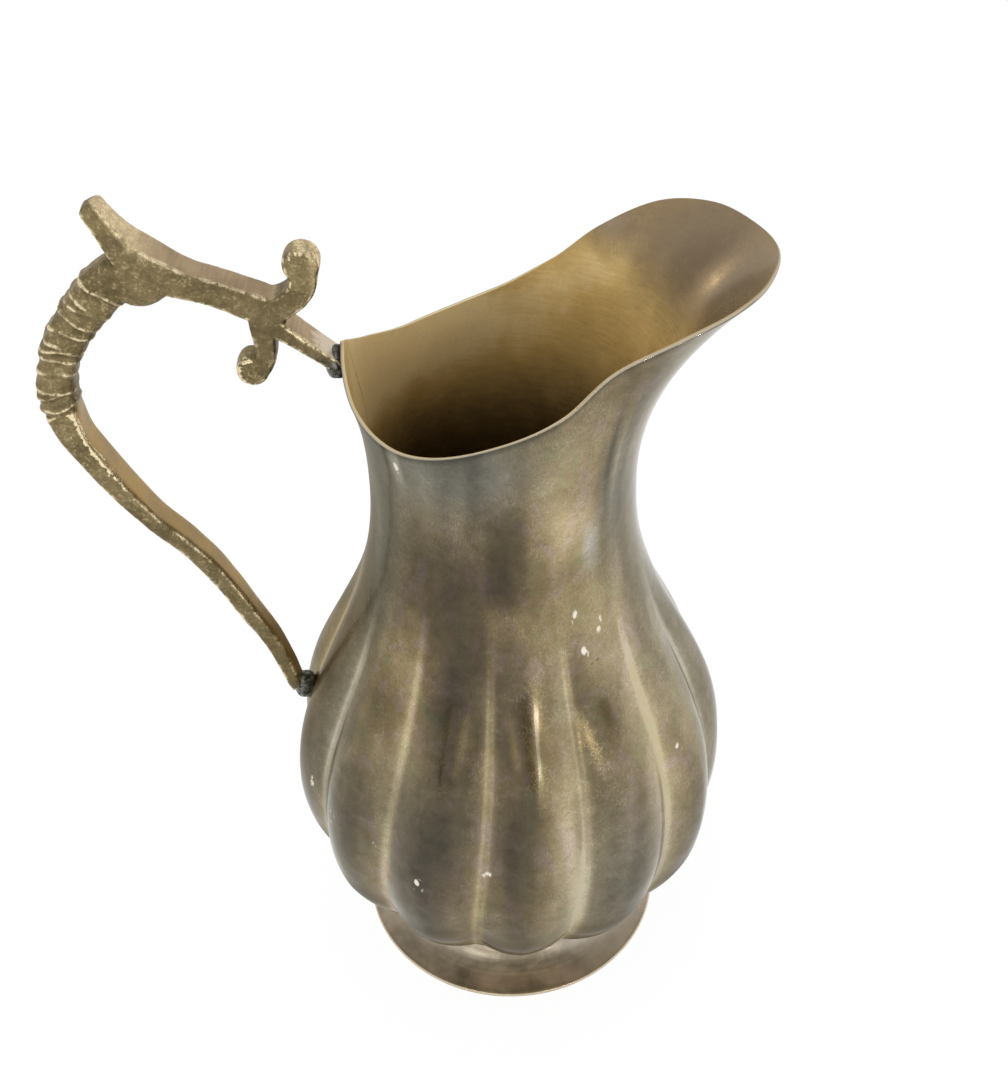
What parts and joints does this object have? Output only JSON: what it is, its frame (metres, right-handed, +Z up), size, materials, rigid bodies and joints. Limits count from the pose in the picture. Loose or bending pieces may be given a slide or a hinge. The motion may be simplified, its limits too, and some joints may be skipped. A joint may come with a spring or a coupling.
{
  "type": "brass jug",
  "caption": "Footed brass jug with a lobed belly, waisted neck, helmet-shaped pouring mouth and a cast scrolled handle with a ribbed grip, soldered at rim and belly.",
  "frame": {"origin": "centre of the bounding box's footprint, on the surface the foot stands on", "axes": "+Z up along the body's axis, +X towards the pouring spout, -X towards the handle, +Y across the handle's plane"},
  "size_m": [0.1728, 0.1212, 0.2427],
  "materials": {
    "sheet_brass": "aged raised sheet with an olive-grey patina, fine swirling scratches and golden rubbed places",
    "spun_brass": "spun foot with a reddish worn edge",
    "cast_brass": "rough cast sides, brushed upper faces and worn bright edges",
    "solder": "dull grey soft solder"
  },
  "bodies": {
    "root": {"body_shell": "sheet_brass", "foot_ring": "spun_brass", "foot_seam": "solder", "handle": "cast_brass", "upper_solder": "solder", "lower_solder": "solder"}
  },
  "joints": []
}
